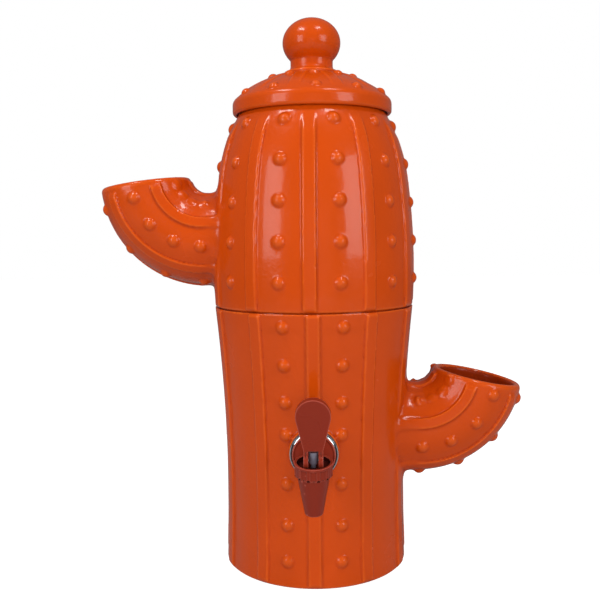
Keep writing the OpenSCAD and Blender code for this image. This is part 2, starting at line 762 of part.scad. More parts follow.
module valve_spring() color("silver") {
    steps = spring_coils * 12;
    z0 = collar_z + collar_t + rest_gap + spring_wire / 2;
    z1 = body_top + gasket_t - 0.05 - spring_wire / 2;
    points = [for (i = [0 : steps]) each spring_ring(i / steps, z0, z1)];
    sides = [for (i = [0 : steps - 1], j = [0 : 5]) let (k = (j + 1) % 6)
        each [[i * 6 + j, i * 6 + k, i * 6 + 6 + k], [i * 6 + j, i * 6 + 6 + k, i * 6 + 6 + j]]];
    ends = [for (j = [1 : 4]) each [[0, j + 1, j], [steps * 6, steps * 6 + j, steps * 6 + j + 1]]];
    at_tap() polyhedron(points, [for (f = concat(sides, ends)) [f[0], f[2], f[1]]]);
}

// The point where a line from p touches the circle of radius r round c
function touch(p, c, r) = let (d = norm(c - p), a = atan2(p[1] - c[1], p[0] - c[0]), b = acos(r / d))
    c + r * [cos(a + b), sin(a + b)];

module paddle_outline() {
    top_c = [0, paddle_up - paddle_w / 2];
    foot = [fork_w / 2, bridge_up];
    side = touch(foot, top_c, paddle_w / 2);
    translate(top_c) circle(paddle_w / 2, $fn = round_fn);
    polygon([[-foot[0], foot[1]], foot, side, top_c, [-side[0], side[1]]]);
}

module tap_lever() color(lever_red) at_tap() difference() {
    union() {
        intersection() {
            translate([0, lever_t / 2 - 0.5, 0]) rotate([90, 0, 0]) linear_extrude(lever_t)
                paddle_outline();
            rotate([90, 0, 90]) translate([0, 0, -paddle_w])
                linear_extrude(2 * paddle_w) polygon([
                    [lever_t / 2 - 0.5, 0], [-lever_t / 2 - 0.5, 0],
                    [-lever_t / 2 - 0.5, paddle_up - paddle_bevel],
                    [-lever_t / 2 - 0.5 + paddle_bevel, paddle_up + 1],
                    [lever_t / 2 - 0.5, paddle_up + 1]]);
        }
        translate([-fork_w / 2, -lever_t / 2 - 0.5, pin_up])
            cube([fork_w, lever_t, bridge_up - pin_up + 1]);
        translate([-fork_w / 2, -foot_offset, pin_up]) rotate([0, 90, 0])
            cylinder(h = fork_w, r = cam_r, $fn = round_fn);
    }
    translate([-fork_gap / 2, -20, pin_up - 10]) cube([fork_gap, 40, bridge_up - pin_up + 10]);
    translate([-fork_w / 2 - 1, 0, pin_up]) rotate([0, 90, 0])
        cylinder(h = fork_w + 2, r = pin_r, $fn = small_fn);
}

module lever_pin() color("silver") at_tap()
    translate([-fork_w / 2, 0, pin_up]) rotate([0, 90, 0])
        cylinder(h = fork_w, r = pin_r, $fn = small_fn);

module candle_base() color("ivory") difference() {
    union() {
        translate([0, 0, candle_z]) cylinder(h = candle_base_h, r = candle_base_r, $fn = round_fn);
        translate([0, 0, candle_stem_end])
            cylinder(h = candle_z - candle_stem_end + 1, r = candle_stem_r, $fn = small_fn);
    }
    translate([0, 0, candle_z + candle_seat])
        cylinder(h = candle_base_h, r = candle_r, $fn = round_fn);
    translate([0, 0, candle_stem_end - 1])
        cylinder(h = candle_z - candle_stem_end + candle_base_h, r = 2.5, $fn = small_fn);
}

module candle_dome(r, h) {
    cylinder(h = h - r, r = r, $fn = round_fn);
    translate([0, 0, h - r]) rotate_extrude($fn = round_fn) intersection() {
        circle(r, $fn = round_fn);
        square(r);
    }
}

module candle_shell() color("linen") translate([0, 0, candle_z + candle_seat]) difference() {
    candle_dome(candle_r, candle_h);
    translate([0, 0, -0.001]) candle_dome(candle_r - candle_wall, candle_h - candle_wall);
}

module candle_carbon() color("black") translate([0, 0, candle_z + candle_seat]) difference() {
    cylinder(h = carbon_h, r = carbon_r, $fn = round_fn);
    translate([0, 0, -1]) cylinder(h = carbon_h - 4, r = 3, $fn = small_fn);
}

module stem_ring(z, t, r, sides) {
    translate([0, 0, z]) difference() {
        cylinder(h = t, r = r, $fn = sides);
        translate([0, 0, -1]) cylinder(h = t + 2, r = candle_stem_r + run_gap, $fn = small_fn);
    }
}

module candle_washer() color("dimgray")
    stem_ring(upper_floor_z, candle_washer_t, candle_stem_r + 9, round_fn);

module floor_washer() color("dimgray")
    stem_ring(seam_z - candle_washer_t, candle_washer_t, candle_stem_r + 7, round_fn);

module candle_nut() color("ivory")
    stem_ring(candle_nut_z, candle_nut_t, candle_stem_r + 6.5, 6);

// Turns its children about the float's hinge from the raised pose to the drooping one
module drooping() {
    translate([-float_hinge_x, 0, float_z]) rotate([0, float_droop, 0]) children();
}

module float_valve_body() color("ivory") difference() {
    union() {
        translate([0, 0, float_body_z]) cylinder(h = float_body_h, r = float_body_r, $fn = round_fn);
        translate([0, 0, nozzle_z]) cylinder(h = nozzle_h + 1, r = 3, $fn = small_fn);
        for (side = [-1, 1])
            translate([-float_hinge_x - 3.5, side * (float_arm_w / 2 + 1.55) - 1.25, float_z - 3.5])
                cube([float_hinge_x, 2.5, float_body_z + 5 - float_z + 3.5]);
    }
    translate([0, 0, candle_stem_end])
        cylinder(h = float_body_h, r = candle_stem_r + run_gap, $fn = small_fn);
    translate([0, 0, nozzle_z - 1]) cylinder(h = float_body_h, r = 1.5, $fn = small_fn);
    translate([-float_hinge_x, -10, float_z]) rotate([-90, 0, 0])
        cylinder(h = 20, r = float_pin_r, $fn = small_fn);
}

module float_pin() color("silver") translate([-float_hinge_x, 0, float_z]) rotate([90, 0, 0])
    translate([0, 0, -float_arm_w / 2 - 2.8])
        cylinder(h = float_arm_w + 5.6, r = float_pin_r, $fn = small_fn);

module float_arm() color("ivory") drooping() difference() {
    union() {
        rotate([90, 0, 0]) translate([0, 0, -float_arm_w / 2])
            cylinder(h = float_arm_w, r = 2.8, $fn = small_fn);
        translate([0, -float_arm_w / 2, -float_arm_h / 2])
            cube([float_reach - float_ball_r + 1, float_arm_w, float_arm_h]);
    }
    rotate([90, 0, 0]) translate([0, 0, -float_arm_w])
        cylinder(h = 2 * float_arm_w, r = float_pin_r + run_gap, $fn = small_fn);
    translate([float_reach, 0, 0]) sphere(float_ball_r, $fn = small_fn);
}

module float_ball() color("orange") drooping()
    translate([float_reach, 0, 0]) sphere(float_ball_r, $fn = small_fn);

module float_seal() color("dimgray") drooping()
    translate([float_hinge_x, 0, float_arm_h / 2]) cylinder(h = float_seal_t, r = 3.2, $fn = small_fn);

lower_pot();
lower_arm();
upper_pot();
upper_arm();
lid();
lid_knob();
tap_body();
tap_bonnet();
bonnet_gasket();
tap_escutcheon();
tap_outer_washer();
tap_inner_washer();
tap_lock_nut();
valve_spring();
valve_stem();
valve_seal();
tap_lever();
lever_pin();
candle_shell();
candle_carbon();
candle_base();
candle_washer();
floor_washer();
candle_nut();
float_valve_body();
float_pin();
float_arm();
float_ball();
float_seal();
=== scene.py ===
import json
import math
import bmesh
import bpy
from mathutils import Matrix, Vector


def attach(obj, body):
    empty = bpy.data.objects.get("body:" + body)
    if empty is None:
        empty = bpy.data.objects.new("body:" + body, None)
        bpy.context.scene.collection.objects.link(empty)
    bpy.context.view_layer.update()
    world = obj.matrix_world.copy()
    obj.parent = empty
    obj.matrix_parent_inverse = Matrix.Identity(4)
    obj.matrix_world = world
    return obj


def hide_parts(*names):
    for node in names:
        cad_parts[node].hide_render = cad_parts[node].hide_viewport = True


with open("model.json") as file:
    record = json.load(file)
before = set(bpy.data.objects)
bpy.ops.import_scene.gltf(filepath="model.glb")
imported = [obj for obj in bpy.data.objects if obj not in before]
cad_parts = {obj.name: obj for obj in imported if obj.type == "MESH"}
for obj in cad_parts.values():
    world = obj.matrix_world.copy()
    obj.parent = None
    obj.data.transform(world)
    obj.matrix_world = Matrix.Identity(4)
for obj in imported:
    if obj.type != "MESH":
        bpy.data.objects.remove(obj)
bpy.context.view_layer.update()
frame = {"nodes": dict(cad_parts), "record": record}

nodes = frame["nodes"]
mm = 0.001
past = 5      # how far a cutter runs past what it cuts, in mm
touch = 0.1   # what lies closer to a wall than this is part of it, in mm
scene = bpy.context.scene


# small helpers

def only(*pieces):
    bpy.ops.object.select_all(action="DESELECT")
    for piece in pieces:
        piece.select_set(True)
    if pieces:
        bpy.context.view_layer.objects.active = pieces[0]


def applyAll(piece):
    only(piece)
    for name in [modifier.name for modifier in piece.modifiers]:
        bpy.ops.object.modifier_apply(modifier=name)


def copyOf(name, *nodeNames):
    # one new object from copies of CAD nodes, their loose triangles merged
    copies = []
    for nodeName in nodeNames:
        piece = bpy.data.objects.new(name, nodes[nodeName].data.copy())
        scene.collection.objects.link(piece)
        piece.data.materials.clear()
        copies.append(piece)
    only(*copies)
    if len(copies) > 1:
        bpy.ops.object.join()
    bpy.ops.object.mode_set(mode="EDIT")
    bpy.ops.mesh.select_all(action="SELECT")
    bpy.ops.mesh.customdata_custom_splitnormals_clear()
    bpy.ops.mesh.remove_doubles(threshold=0.001 * mm)
    bpy.ops.object.mode_set(mode="OBJECT")
    return copies[0]


def cylinder(name, radius, low, high, centre=(0, 0), sides=96, along="Z"):
    # a closed cylinder in mm, along Z from low to high or along -Y from low to high
    bpy.ops.object.select_all(action="DESELECT")
    middle = (low + high) / 2
    if along == "Z":
        spot, turn = (centre[0], centre[1], middle), (0, 0, 0)
    else:
        spot, turn = (centre[0], -middle, centre[1]), (math.radians(90), 0, 0)
    bpy.ops.mesh.primitive_cylinder_add(
        vertices=sides, radius=radius * mm, depth=(high - low) * mm,
        location=Vector(spot) * mm, rotation=turn)
    piece = bpy.context.object
    piece.name = name
    bpy.ops.object.transform_apply(location=True, rotation=True, scale=True)
    return piece


def box(name, low, high):
    bpy.ops.object.select_all(action="DESELECT")
    middle = [(a + b) / 2 * mm for a, b in zip(low, high)]
    bpy.ops.mesh.primitive_cube_add(size=1, location=middle)
    piece = bpy.context.object
    piece.name = name
    piece.scale = [(b - a) * mm for a, b in zip(low, high)]
    bpy.ops.object.transform_apply(location=True, rotation=True, scale=True)
    return piece


def turned(name, outline, steps=128, closed=False):
    # spins an outline of (radius, height) points in mm round the Z axis
    bpy.ops.object.select_all(action="DESELECT")
    bpy.ops.mesh.primitive_plane_add(size=1 * mm)
    piece = bpy.context.object
    piece.name = name
    bpy.ops.object.mode_set(mode="EDIT")
    bpy.ops.mesh.select_all(action="SELECT")
    bpy.ops.mesh.merge(type="CENTER")
    bpy.ops.transform.translate(value=(outline[0][0] * mm, 0, outline[0][1] * mm))
    for before, after in zip(outline, outline[1:]):
        step = ((after[0] - before[0]) * mm, 0, (after[1] - before[1]) * mm)
        bpy.ops.mesh.extrude_vertices_move(TRANSFORM_OT_translate={"value": step})
    if closed:
        bpy.ops.mesh.select_all(action="DESELECT")
        drawing = bmesh.from_edit_mesh(piece.data)
        for vertex in drawing.verts:
            vertex.select = len(vertex.link_edges) == 1
        drawing.select_flush(True)
        bpy.ops.mesh.edge_face_add()
    bpy.ops.mesh.select_all(action="SELECT")
    bpy.ops.mesh.spin(steps=steps, angle=2 * math.pi, center=(0, 0, 0), axis=(0, 0, 1))
    bpy.ops.mesh.select_all(action="SELECT")
    bpy.ops.mesh.remove_doubles(threshold=0.002 * mm)
    bpy.ops.mesh.normals_make_consistent(inside=False)
    bpy.ops.object.mode_set(mode="OBJECT")
    return piece


def joined(piece, *others):
    only(piece, *others)
    bpy.ops.object.join()
    return piece


def combine(piece, other, how="DIFFERENCE"):
    only(piece)
    change = piece.modifiers.new("combine", "BOOLEAN")
    change.operation = how
    change.object = other
    change.solver = "MANIFOLD"
    bpy.ops.object.modifier_apply(modifier="combine")
    bpy.data.objects.remove(other)
    return piece


def melt(piece, voxel, rounds, most=0):
    # fuses what is joined into one skin and softens its edges, as glaze or moulding does;
    # most is how many triangles may stay
    skin = piece.modifiers.new("skin", "REMESH")
    skin.mode = "VOXEL"
    skin.voxel_size = voxel * mm
    soften = piece.modifiers.new("soften", "SMOOTH")
    soften.factor = 0.5
    soften.iterations = rounds
    applyAll(piece)
    if most:
        thin = piece.modifiers.new("thin", "DECIMATE")
        thin.ratio = min(1, most / (2 * len(piece.data.polygons)))
        applyAll(piece)
    return piece


def eased(part):
    # a smooth step from 0 to 1
    part = min(1, max(0, part))
    return part * part * (3 - 2 * part)


def shade(piece, angle=40):
    only(piece)
    bpy.ops.object.shade_smooth_by_angle(angle=math.radians(angle))


def place(piece, body, slot, material, *replaced):
    piece.data.materials.clear()
    piece.data.materials.append(material)
    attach(piece, body)
    if replaced:
        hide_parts(*replaced)


# the camera stands where the photograph was taken from

cameraSettings = {
    "spot": (0.00687, -0.64138, 0.26275),
    "ahead": (-0.0279, 0.9996),
    "pitch": 4.795,      # degrees below the horizon
    "roll": 0.596,
    "lens": 48,
    "sensor": 36,
}


def addCamera(s):
    down = math.radians(s["pitch"])
    level = Vector((*s["ahead"], 0)) * math.cos(down)
    ahead = level - Vector((0, 0, math.sin(down)))
    right = ahead.cross(Vector((0, 0, 1))).normalized()
    up = right.cross(ahead)
    roll = math.radians(s["roll"])
    right, up = (right * math.cos(roll) - up * math.sin(roll),
                 up * math.cos(roll) + right * math.sin(roll))
    data = bpy.data.cameras.new("camera")
    data.lens = s["lens"]
    data.sensor_width = s["sensor"]
    camera = bpy.data.objects.new("camera", data)
    scene.collection.objects.link(camera)
    turn = Matrix((right, up, -ahead)).transposed().to_4x4()
    camera.matrix_world = Matrix.Translation(Vector(s["spot"])) @ turn
    scene.camera = camera


addCamera(cameraSettings)
print("camera ready")


# light, floor and background

lightSettings = {
    "worldLight": 0.2,      # what lights the object
    "worldSeen": 1.0,       # what the camera sees
    # spot, size in metres, watts
    "lamps": [
        ("leftPanel", (-0.95, -0.95, 0.6), (0.5, 0.72), 7),
        ("rightPanel", (0.98, -0.92, 0.6), (0.5, 0.72), 7),
        ("leftSpark", (-0.5, -0.35, 1.25), (0.28, 0.16), 4.5),
        ("rightSpark", (0.34, -0.4, 1.3), (0.24, 0.14), 3.5),
        ("frontFill", (0.1, -1.5, 0.25), (0.8, 0.8), 9),
    ],
    "aim": (0, 0, 0.24),
    "fill": "frontFill",    # the lamp that leaves no highlight
    "floorTone": 0.5,
    "floorGlow": 0.93,      # for the camera alone
    "floorSize": 8,
}


def addLight(s):
    world = bpy.data.worlds.new("studio")
    scene.world = world
    world.use_nodes = True
    tree = world.node_tree
    tree.nodes.clear()
    output = tree.nodes.new("ShaderNodeOutputWorld")
    lit = tree.nodes.new("ShaderNodeBackground")
    lit.inputs["Color"].default_value = (1, 1, 1, 1)
    lit.inputs["Strength"].default_value = s["worldLight"]
    seen = tree.nodes.new("ShaderNodeBackground")
    seen.inputs["Color"].default_value = (1, 1, 1, 1)
    seen.inputs["Strength"].default_value = s["worldSeen"]
    path = tree.nodes.new("ShaderNodeLightPath")
    blend = tree.nodes.new("ShaderNodeMixShader")
    tree.links.new(path.outputs["Is Camera Ray"], blend.inputs["Fac"])
    tree.links.new(lit.outputs[0], blend.inputs[1])
    tree.links.new(seen.outputs[0], blend.inputs[2])
    tree.links.new(blend.outputs[0], output.inputs["Surface"])
    for name, spot, size, watts in s["lamps"]:
        data = bpy.data.lights.new(name, "AREA")
        data.shape = "RECTANGLE"
        data.size, data.size_y = size
        data.energy = watts
        lamp = bpy.data.objects.new(name, data)
        scene.collection.objects.link(lamp)
        lamp.location = spot
        toward = Vector(s["aim"]) - Vector(spot)
        lamp.rotation_euler = toward.to_track_quat("-Z", "Y").to_euler()
        lamp.visible_glossy = name != s["fill"]


def floorMaterial(tone, strength):
    material = bpy.data.materials.new("paleFloor")
    material.use_nodes = True
    tree = material.node_tree
    tree.nodes.clear()
    output = tree.nodes.new("ShaderNodeOutputMaterial")
    matte = tree.nodes.new("ShaderNodeBsdfDiffuse")
    matte.inputs["Color"].default_value = (tone, tone, tone, 1)
    glow = tree.nodes.new("ShaderNodeEmission")
    glow.inputs["Strength"].default_value = strength
    path = tree.nodes.new("ShaderNodeLightPath")
    dark = tree.nodes.new("ShaderNodeEmission")
    dark.inputs["Strength"].default_value = 0
    onlySeen = tree.nodes.new("ShaderNodeMixShader")
    both = tree.nodes.new("ShaderNodeAddShader")
    tree.links.new(path.outputs["Is Camera Ray"], onlySeen.inputs["Fac"])
    tree.links.new(dark.outputs[0], onlySeen.inputs[1])
    tree.links.new(glow.outputs[0], onlySeen.inputs[2])
    tree.links.new(matte.outputs[0], both.inputs[0])
    tree.links.new(onlySeen.outputs[0], both.inputs[1])
    tree.links.new(both.outputs[0], output.inputs["Surface"])
    return material


addLight(lightSettings)
bpy.ops.object.select_all(action="DESELECT")
bpy.ops.mesh.primitive_plane_add(size=lightSettings["floorSize"])
studioFloor = bpy.context.object
studioFloor.name = "studioFloor"
studioFloor.data.materials.append(floorMaterial(lightSettings["floorTone"], lightSettings["floorGlow"]))
scene.view_settings.view_transform = "Standard"
print("light and floor ready")


# effects that the materials share

def newGroup(name, inputs, outputs):
    group = bpy.data.node_groups.new(name, "ShaderNodeTree")
    for label, kind, value in inputs:
        socket = group.interface.new_socket(label, in_out="INPUT", socket_type=kind)
        socket.default_value = value
    for label, kind in outputs:
        group.interface.new_socket(label, in_out="OUTPUT", socket_type=kind)
    return group, group.nodes.new("NodeGroupInput"), group.nodes.new("NodeGroupOutput")


def mixColour(tree, colour, factor, under=None):
    # lays a colour over what is linked or set under it, as far as the factor says
    node = tree.nodes.new("ShaderNodeMix")
    node.data_type = "RGBA"
    node.inputs["B"].default_value = (*colour, 1)
    tree.links.new(factor, node.inputs["Factor"])
    if under:
        tree.links.new(under, node.inputs["A"])
    return node


def edgeAndHollow():
    # masks of raised edges and of hollows, from how sharply the surface bends; the materials use them for
    # painted highlights and painted shade
    group, inside, outside = newGroup(
        "edgeAndHollow", [("Width", "NodeSocketFloat", 0.05)],
        [("Edge", "NodeSocketFloat"), ("Hollow", "NodeSocketFloat")])
    flat, least = 0.5, 0.006
    bends = group.nodes.new("ShaderNodeNewGeometry")
    for label, sign in (("Edge", 1), ("Hollow", -1)):
        limit = group.nodes.new("ShaderNodeMath")
        limit.operation = "MULTIPLY_ADD"
        limit.inputs[1].default_value = sign
        limit.inputs[2].default_value = flat
        start = group.nodes.new("ShaderNodeMapRange")
        group.links.new(inside.outputs["Width"], limit.inputs[0])
        start.inputs["From Min"].default_value = flat + least * sign
        group.links.new(limit.outputs[0], start.inputs["From Max"])
        group.links.new(bends.outputs["Pointiness"], start.inputs["Value"])
        group.links.new(start.outputs[0], outside.inputs[label])
    return group


def grainAndTone():
    # a fine grain for the bump and a slow drift for the colour, on the piece's own coordinates
    group, inside, outside = newGroup(
        "grainAndTone",
        [("Grain Scale", "NodeSocketFloat", 900.0), ("Drift Scale", "NodeSocketFloat", 18.0)],
        [("Grain", "NodeSocketFloat"), ("Drift", "NodeSocketFloat")])
    where = group.nodes.new("ShaderNodeTexCoord")
    for label, detail in (("Grain", 2.0), ("Drift", 3.0)):
        noise = group.nodes.new("ShaderNodeTexNoise")
        noise.inputs["Detail"].default_value = detail
        group.links.new(where.outputs["Object"], noise.inputs["Vector"])
        group.links.new(inside.outputs[label + " Scale"], noise.inputs["Scale"])
        group.links.new(noise.outputs["Fac"], outside.inputs[label])
    return group


edgeGroup = edgeAndHollow()
grainGroup = grainAndTone()


# materials

driftEnds = (0.3, 0.7)    # what the slow noise mostly stays between


def finish(name, colour, roughness, spread=0.06, grain=(900, 0.1, 0.0002), drift=18, darker=0.85,
           edge=None, hollow=None, metallic=0.0, shineLevel=0.5, coat=0.0, coatRoughness=0.05,
           width=0.05, facing=None):
    # grain is the scale, strength and depth of the bump
    material = bpy.data.materials.new(name)
    material.use_nodes = True
    material.diffuse_color = (*colour, 1)
    tree = material.node_tree
    shader = tree.nodes["Principled BSDF"]
    shader.inputs["Metallic"].default_value = metallic
    shader.inputs["Specular IOR Level"].default_value = shineLevel
    shader.inputs["Coat Weight"].default_value = coat
    shader.inputs["Coat Roughness"].default_value = coatRoughness
    texture = tree.nodes.new("ShaderNodeGroup")
    texture.node_tree = grainGroup
    texture.inputs["Grain Scale"].default_value = grain[0]
    texture.inputs["Drift Scale"].default_value = drift
    base = mixColour(tree, colour, texture.outputs["Drift"])
    base.inputs["A"].default_value = (*[c * darker for c in colour], 1)
    last = base.outputs["Result"]
    # painted light: raised edges take the edge colour as a painted highlight and hollows the hollow colour
    # as painted shade, on the glaze also as glaze pooling
    if edge or hollow:
        bends = tree.nodes.new("ShaderNodeGroup")
        bends.node_tree = edgeGroup
        bends.inputs["Width"].default_value = width
        for label, tone in (("Hollow", hollow), ("Edge", edge)):
            if tone:
                last = mixColour(tree, tone, bends.outputs[label], last).outputs["Result"]
    if facing:
        # painted reflection: the sides that turn away from the eye take another colour
        away = tree.nodes.new("ShaderNodeLayerWeight")
        away.inputs["Blend"].default_value = 0.5
        last = mixColour(tree, facing, away.outputs["Facing"], last).outputs["Result"]
    tree.links.new(last, shader.inputs["Base Color"])
    rough = tree.nodes.new("ShaderNodeMapRange")
    rough.inputs["From Min"].default_value, rough.inputs["From Max"].default_value = driftEnds
    rough.inputs["To Min"].default_value = roughness
    rough.inputs["To Max"].default_value = roughness + spread
    tree.links.new(texture.outputs["Drift"], rough.inputs["Value"])
    tree.links.new(rough.outputs[0], shader.inputs["Roughness"])
    bump = tree.nodes.new("ShaderNodeBump")
    bump.inputs["Strength"].default_value = grain[1]
    bump.inputs["Distance"].default_value = grain[2]
    tree.links.new(texture.outputs["Grain"], bump.inputs["Height"])
    tree.links.new(bump.outputs["Normal"], shader.inputs["Normal"])
    return material


# the edge colour is a painted highlight on raised edges; the hollow colour is glaze pooled in the grooves
# together with painted shade there
glazedClay = finish("glazedClay", (0.56, 0.06, 0.0016), 0.2, spread=0.08, grain=(300, 0.3, 0.0006),
                    drift=22, darker=0.84, edge=(0.66, 0.1, 0.008), hollow=(0.33, 0.025, 0.001),
                    shineLevel=0.14, coat=0.2, coatRoughness=0.06, width=0.05)
# painted shade: the darker glaze laid inside the arms, where shade falls
paintedShadeGlaze = finish("paintedShadeGlaze", (0.3, 0.024, 0.001), 0.3, spread=0.08, grain=(300, 0.3, 0.0006),
                      drift=22, darker=0.8, shineLevel=0.1, coat=0.15, coatRoughness=0.1)
# the edge colour is a painted highlight on raised edges, and the hollow colour painted shade in the grooves
# of the grips
tapPlastic = finish("tapPlastic", (0.225, 0.022, 0.009), 0.26, grain=(1600, 0.15, 0.0001), darker=0.9,
                    edge=(0.38, 0.075, 0.05), hollow=(0.05, 0.004, 0.002), shineLevel=0.17, width=0.045)
# the teal grey towards the sides is a painted reflection
chrome = finish("chrome", (0.62, 0.67, 0.7), 0.09, spread=0.05, grain=(500, 0.03, 0.0001), darker=0.92,
                metallic=1.0, facing=(0.1, 0.2, 0.23))
tapShadow = finish("tapShadow", (0.055, 0.004, 0.002), 0.5, grain=(1600, 0.15, 0.0001), darker=0.8,
                   shineLevel=0.15)
# painted sheen: grey where the plastic faces the eye, near black where it turns away; the stem's plastic
# itself is near black
plasticPaintedSheen = finish("plasticPaintedSheen", (0.2, 0.19, 0.24), 0.35, grain=(1400, 0.1, 0.0001), darker=0.85,
                     facing=(0.004, 0.004, 0.006))
rubber = finish("rubber", (0.02, 0.02, 0.021), 0.6, grain=(1800, 0.3, 0.0002), darker=0.7)
whitePlastic = finish("whitePlastic", (0.75, 0.74, 0.69), 0.4, grain=(1300, 0.12, 0.0001), darker=0.92)
steel = finish("steel", (0.56, 0.57, 0.58), 0.24, grain=(700, 0.06, 0.0001), metallic=1.0)
candleCeramic = finish("candleCeramic", (0.78, 0.74, 0.66), 0.75, grain=(650, 0.4, 0.0005), darker=0.88)
carbonBlock = finish("carbonBlock", (0.018, 0.018, 0.019), 0.85, grain=(420, 0.7, 0.001), darker=0.6)
floatPlastic = finish("floatPlastic", (0.72, 0.28, 0.05), 0.35, grain=(1200, 0.1, 0.0001), darker=0.9)
print("materials ready")


# lower pot with its arm

lowerPot = {
    "waistRadius": 71, "waistHeight": 60, "seamHeight": 205.7, "seamRadius": 78.8, "wall": 7,
    "floor": 10, "mouthRound": 2, "top": 205.6, "seamGap": 0.7, "seatRadius": 75, "plugDepth": 30,
    "armHeight": 106.4, "armRadius": 35.5, "bendX": 82, "rimTurn": 78, "armTurn": -15, "rootRadius": 72,
    "tapHeight": 103.7, "padFace": 73.5, "innerPadFace": 62.5, "innerPadRadius": 16, "holeRadius": 8.6,
    "holePlug": 3, "wallStep": 12, "wallSteps": 16,
}
skin = {
    "voxel": 0.85, "rounds": 3, "most": 180000, "plugInset": 4,
    "rootFrom": 40, "rootReach": 10, "rootGain": 1.6, "rootRounds": 60,
}


def softenRoot(piece, side, height, tubeRadius, wallRadius, s):
    # the clay flows from the pot into the arm, so the corner round the root is filled out
    group = piece.vertex_groups.new(name="root")
    for vertex in piece.data.vertices:
        x, y, z = vertex.co / mm
        if x * side < s["rootFrom"]:
            continue
        fromTube = abs(math.hypot(y, z - height) - tubeRadius)
        fromWall = abs(math.hypot(x, y) - wallRadius)
        weight = 1 - max(fromTube, fromWall) / s["rootReach"]
        if weight > 0:
            group.add([vertex.index], min(1, s["rootGain"] * weight), "REPLACE")
    fill = piece.modifiers.new("fill", "SMOOTH")
    fill.factor = 0.5
    fill.iterations = s["rootRounds"]
    fill.vertex_group = "root"
    applyAll(piece)
    piece.vertex_groups.clear()


def mouthRounding(radius, height, size, count=5):
    # widens the top of a hollow, so that the mouth's inner edge is round
    turns = [math.radians(90 * i / count) for i in range(count + 1)]
    return [(radius + size - size * math.cos(a), height - size + size * math.sin(a)) for a in turns]


def footRounding(radius, height):
    # the floor of a hollow, a little rounded where it meets the wall
    return [(0, height), (radius - 4, height), (radius - 1, height + 1)]


def lowerHollow(s):
    curve = ((s["seamHeight"] - s["waistHeight"]) ** 2 + (s["seamRadius"] - s["waistRadius"]) ** 2) / (
        2 * (s["seamRadius"] - s["waistRadius"]))

    def radiusAt(height):
        within, up = curve + s["wall"], height - s["waistHeight"]
        return s["waistRadius"] + curve - math.sqrt(within ** 2 - up ** 2)

    low, high = s["floor"], s["seamHeight"]
    outline = footRounding(radiusAt(low), low)
    outline += [(radiusAt(h), h) for h in [low + 2 + i * s["wallStep"] for i in range(s["wallSteps"])]]
    outline += mouthRounding(radiusAt(high), high, s["mouthRound"])
    return outline + [(outline[-1][0], high + past), (0, high + past)]


# angles in degrees; a rib's reach round the tube is ribSpan to each side, a thorn's begins at thornFrom
arm = {
    # wallSlack, insideFrom and rimSlack bound the painted shade inside the arm
    "bend": 49, "wall": 6, "wallSlack": 0.8, "insideFrom": 3, "rimSlack": 2,
    "ribs": 6, "ribWidth": 8, "ribHeight": 1.8, "ribStart": 60, "ribOverlap": 0.4, "ribEnd": 7,
    "ribSpan": 8, "thornFrom": 9, "innerThorn": 0.4, "innerFrom": 105,
}


def armRibRoots(s, side):
    # straight starts of the arm's ribs, which run on into the pot's wall
    bars = []
    outer = s["armRadius"] + arm["ribHeight"]
    for k in range(arm["ribs"]):
        turn = math.radians(k * 360 / arm["ribs"] + s["armTurn"])
        bar = box("rib", (arm["ribStart"], -arm["ribWidth"] / 2, s["armRadius"] - arm["wall"] / 2),
                  (s["bendX"] + arm["ribOverlap"], arm["ribWidth"] / 2, outer))
        # a rib at zero turn lies on the outside of the bend, below the tube
        spin = Matrix.Rotation(math.pi - turn, 4, "X")
        bar.data.transform(Matrix.Translation((0, 0, s["armHeight"] * mm)) @ spin)
        if side < 0:
            bar.data.transform(Matrix.Scale(-1, 4, (1, 0, 0)))
            bar.data.flip_normals()
        bars.append(bar)
    return bars


def shapeArm(piece, s, side):
    # the thorns inside the bend are low, and the ribs fade out under the rim
    bendHeight = s["armHeight"] + arm["bend"]
    pitch = 360 / arm["ribs"]
    for vertex in piece.data.vertices:
        x, y, z = vertex.co / mm
        east, down = x * side - s["bendX"], bendHeight - z
        reach = math.hypot(east, down)
        along = math.degrees(math.atan2(east, down))
        if not -1 < along < s["rimTurn"] + 1 or reach > 2 * arm["bend"]:
            continue
        outward = reach - arm["bend"]
        across = math.hypot(outward, y)
        over = across - s["armRadius"]
        if over < touch:
            continue
        turn = math.degrees(math.atan2(-y, outward))
        offRib = abs((turn - s["armTurn"] + pitch / 2) % pitch - pitch / 2)
        keep = 1
        if abs(turn) > arm["innerFrom"] and offRib > arm["thornFrom"]:
            keep = arm["innerThorn"]
        elif offRib < arm["ribSpan"]:
            keep = eased((s["rimTurn"] - along) / arm["ribEnd"])
        if keep < 1:
            new = (s["armRadius"] + over * keep) / across
            reachNew = arm["bend"] + outward * new
            vertex.co = Vector((side * (s["bendX"] + east * reachNew / reach), y * new,
                                bendHeight - down * reachNew / reach)) * mm


def paintShadeInArm(piece, s, side):
    # painted shade: the hollow of the arm gets a darker glaze, for the shade that falls inside it
    piece.data.materials.append(paintedShadeGlaze)
    bendHeight = s["armHeight"] + arm["bend"]
    inner = s["armRadius"] - arm["wall"] + arm["wallSlack"]
    low, high = arm["insideFrom"], s["rimTurn"] + arm["rimSlack"]
    for face in piece.data.polygons:
        x, y, z = face.center / mm
        east, down = x * side - s["bendX"], bendHeight - z
        along = math.degrees(math.atan2(east, down))
        if low < along < high and math.hypot(math.hypot(east, down) - arm["bend"], y) < inner:
            face.material_index = 1


